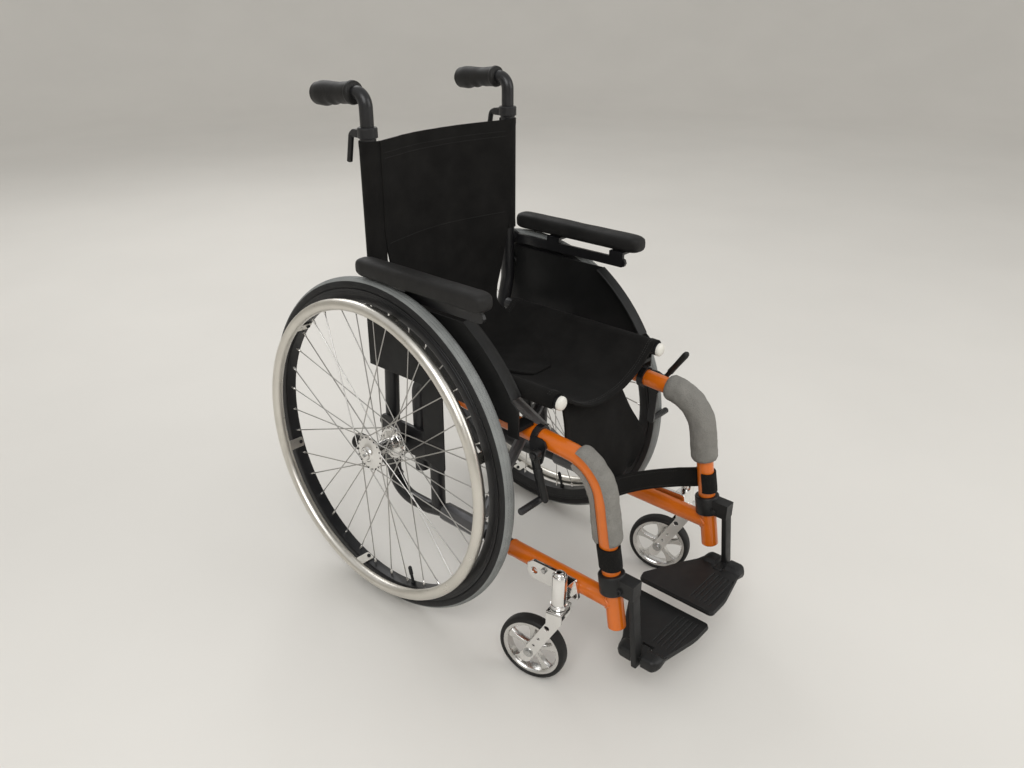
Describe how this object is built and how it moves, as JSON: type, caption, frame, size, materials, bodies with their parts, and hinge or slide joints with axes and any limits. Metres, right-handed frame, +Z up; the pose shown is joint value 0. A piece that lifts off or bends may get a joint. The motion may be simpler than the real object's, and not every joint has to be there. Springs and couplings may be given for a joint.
{
  "type": "folding paediatric wheelchair",
  "caption": "Folding self-propelled child's wheelchair with cambered spoked wheels, castors, sling seat and back, brakes, armrests and flip-up footplates.",
  "frame": {"origin": "middle of the bounding box on the floor", "axes": "+Z up, -Y towards the front of the chair, -X towards the occupant's right"},
  "size_m": [0.5032, 0.8314, 0.8775],
  "materials": {
    "orange_paint": "gloss orange paint",
    "black_metal": "black satin coating",
    "grey_metal": "grey satin coating",
    "silver_anodised": "silver anodised",
    "polished_metal": "polished bright metal",
    "grey_tyre": "dusty grey tread with dark walls",
    "black_rubber": "black rubber",
    "black_plastic": "black satin plastic",
    "grey_foam": "soft grey foam",
    "white_plastic": "off-white plastic",
    "black_cloth": "black woven nylon"
  },
  "bodies": {
    "right_side": {"front_frame_right": "orange_paint", "rear_frame_right": "black_metal", "foam_sleeve_right": "grey_foam", "axle_right": "polished_metal", "castor_housing_right": "polished_metal", "side_guard_right": "black_plastic", "brake_mount_right": "black_metal", "footrest_hanger_right": "black_plastic", "calf_strap": "black_cloth", "back_upholstery": "black_cloth"},
    "left_side": {"front_frame_left": "orange_paint", "rear_frame_left": "black_metal", "foam_sleeve_left": "grey_foam", "axle_left": "polished_metal", "castor_housing_left": "polished_metal", "side_guard_left": "black_plastic", "brake_mount_left": "black_metal", "footrest_hanger_left": "black_plastic"},
    "brace_right": {"cross_arm_right": "grey_metal", "cross_brace_pivot_bolt": "grey_metal", "seat_rail_left": "black_metal", "rail_cap_left": "white_plastic", "seat_sling": "black_cloth", "under_seat_flap": "black_cloth"},
    "brace_left": {"cross_arm_left": "grey_metal", "seat_rail_right": "black_metal", "rail_cap_right": "white_plastic"},
    "wheel_right": {"tyre_right": "grey_tyre", "wheel_rim_right": "black_metal", "hub_and_spokes_right": "polished_metal", "handrim_right": "silver_anodised"},
    "button_right": {"axle_button_right": "polished_metal"},
    "castor_right": {"castor_fork_right": "polished_metal"},
    "castor_roller_right": {"castor_wheel_right": "silver_anodised", "castor_tyre_right": "black_rubber"},
    "brake_right": {"brake_lever_right": "black_plastic"},
    "shoe_right": {"brake_shoe_right": "black_metal"},
    "footplate_right": {"footplate_right": "black_plastic"},
    "armrest_right": {"arm_support_right": "black_metal", "arm_pad_right": "black_rubber"},
    "handle_right": {"push_handle_right": "black_metal", "handle_grip_right": "black_rubber"},
    "clamp_right": {"handle_clamp_lever_right": "black_plastic"},
    "wheel_left": {"tyre_left": "grey_tyre", "wheel_rim_left": "black_metal", "hub_and_spokes_left": "polished_metal", "handrim_left": "silver_anodised"},
    "button_left": {"axle_button_left": "polished_metal"},
    "castor_left": {"castor_fork_left": "polished_metal"},
    "castor_roller_left": {"castor_wheel_left": "silver_anodised", "castor_tyre_left": "black_rubber"},
    "brake_left": {"brake_lever_left": "black_plastic"},
    "shoe_left": {"brake_shoe_left": "black_metal"},
    "footplate_left": {"footplate_left": "black_plastic"},
    "armrest_left": {"arm_support_left": "black_metal", "arm_pad_left": "black_rubber"},
    "handle_left": {"push_handle_left": "black_metal", "handle_grip_left": "black_rubber"},
    "clamp_left": {"handle_clamp_lever_left": "black_plastic"}
  },
  "joints": [
    {"name": "fold", "type": "hinge", "parent": "right_side", "child": "brace_right", "pos_m": [-0.14, -0.03725, 0.172], "axis": [0, -1, 0], "range_deg": [0, 19], "deforming": ["seat_sling", "under_seat_flap", "back_upholstery", "calf_strap"]},
    {"name": "fold_scissor", "type": "hinge", "parent": "brace_right", "child": "brace_left", "pos_m": [0, -0.05025, 0.3213], "axis": [0, 1, 0], "range_deg": [0, 38]},
    {"name": "fold_left_side", "type": "hinge", "parent": "brace_left", "child": "left_side", "pos_m": [0.14, -0.06325, 0.172], "axis": [0, -1, 0], "range_deg": [0, 19]},
    {"name": "wheel_spin_right", "type": "hinge", "parent": "right_side", "child": "wheel_right", "pos_m": [-0.203, 0.12075, 0.29483], "axis": [0.9994, 0, -0.0349], "continuous": true},
    {"name": "axle_button_press_right", "type": "slide", "parent": "right_side", "child": "button_right", "axis": [0.9994, 0, -0.0349], "range_m": [0, 0.0025], "stiffness_N_per_m": 600},
    {"name": "castor_swivel_right", "type": "hinge", "parent": "right_side", "child": "castor_right", "pos_m": [-0.1856, -0.25325, 0.16], "axis": [0, 0, 1], "continuous": true},
    {"name": "castor_spin_right", "type": "hinge", "parent": "castor_right", "child": "castor_roller_right", "pos_m": [-0.19505, -0.21233, 0.057], "axis": [0.9744, 0.225, 0], "continuous": true},
    {"name": "brake_lever_right", "type": "hinge", "parent": "right_side", "child": "brake_right", "pos_m": [-0.1718, -0.19125, 0.388], "axis": [-1, 0, 0], "range_deg": [0, 130]},
    {"name": "brake_shoe_swing_right", "type": "hinge", "parent": "right_side", "child": "shoe_right", "pos_m": [-0.1598, -0.18225, 0.372], "axis": [1, 0, 0], "range_deg": [0, 16.27]},
    {"name": "footplate_flip_right", "type": "hinge", "parent": "right_side", "child": "footplate_right", "pos_m": [-0.1115, -0.36745, 0.0855], "axis": [0, -1, 0], "range_deg": [0, 90]},
    {"name": "armrest_flip_right", "type": "hinge", "parent": "right_side", "child": "armrest_right", "pos_m": [-0.173, 0.15675, 0.57796], "axis": [-1, 0, 0], "range_deg": [0, 75]},
    {"name": "handle_height_right", "type": "slide", "parent": "right_side", "child": "handle_right", "axis": [0, 0, 1], "range_m": [0, 0.12]},
    {"name": "handle_clamp_right", "type": "hinge", "parent": "right_side", "child": "clamp_right", "pos_m": [-0.158, 0.17955, 0.803], "axis": [1, 0, 0], "range_deg": [0, 95]},
    {"name": "wheel_spin_left", "type": "hinge", "parent": "left_side", "child": "wheel_left", "pos_m": [0.203, 0.12075, 0.29483], "axis": [0.9994, 0, 0.0349], "continuous": true},
    {"name": "axle_button_press_left", "type": "slide", "parent": "left_side", "child": "button_left", "axis": [-0.9994, 0, -0.0349], "range_m": [0, 0.0025], "stiffness_N_per_m": 600},
    {"name": "castor_swivel_left", "type": "hinge", "parent": "left_side", "child": "castor_left", "pos_m": [0.1856, -0.25325, 0.16], "axis": [0, 0, 1], "continuous": true},
    {"name": "castor_spin_left", "type": "hinge", "parent": "castor_left", "child": "castor_roller_left", "pos_m": [0.17314, -0.21314, 0.057], "axis": [0.955, 0.2965, 0], "continuous": true},
    {"name": "brake_lever_left", "type": "hinge", "parent": "left_side", "child": "brake_left", "pos_m": [0.1718, -0.19125, 0.388], "axis": [1, 0, 0], "range_deg": [0, 130]},
    {"name": "brake_shoe_swing_left", "type": "hinge", "parent": "left_side", "child": "shoe_left", "pos_m": [0.1598, -0.18225, 0.372], "axis": [1, 0, 0], "range_deg": [-16.27, 0]},
    {"name": "footplate_flip_left", "type": "hinge", "parent": "left_side", "child": "footplate_left", "pos_m": [0.1115, -0.36521, 0.1055], "axis": [0, 1, 0], "range_deg": [0, 90]},
    {"name": "armrest_flip_left", "type": "hinge", "parent": "left_side", "child": "armrest_left", "pos_m": [0.173, 0.15675, 0.57796], "axis": [-1, 0, 0], "range_deg": [0, 75]},
    {"name": "handle_height_left", "type": "slide", "parent": "left_side", "child": "handle_left", "axis": [0, 0, 1], "range_m": [0, 0.12]},
    {"name": "handle_clamp_left", "type": "hinge", "parent": "left_side", "child": "clamp_left", "pos_m": [0.158, 0.17955, 0.803], "axis": [1, 0, 0], "range_deg": [0, 95]}
  ],
  "couplings": [
    {"joint": "fold_scissor", "follows": "fold", "ratio": 2},
    {"joint": "fold_left_side", "follows": "fold", "ratio": 1},
    {"joint": "brake_shoe_swing_right", "follows": "brake_lever_right", "ratio": 0.12512},
    {"joint": "brake_shoe_swing_left", "follows": "brake_lever_left", "ratio": -0.12512}
  ]
}
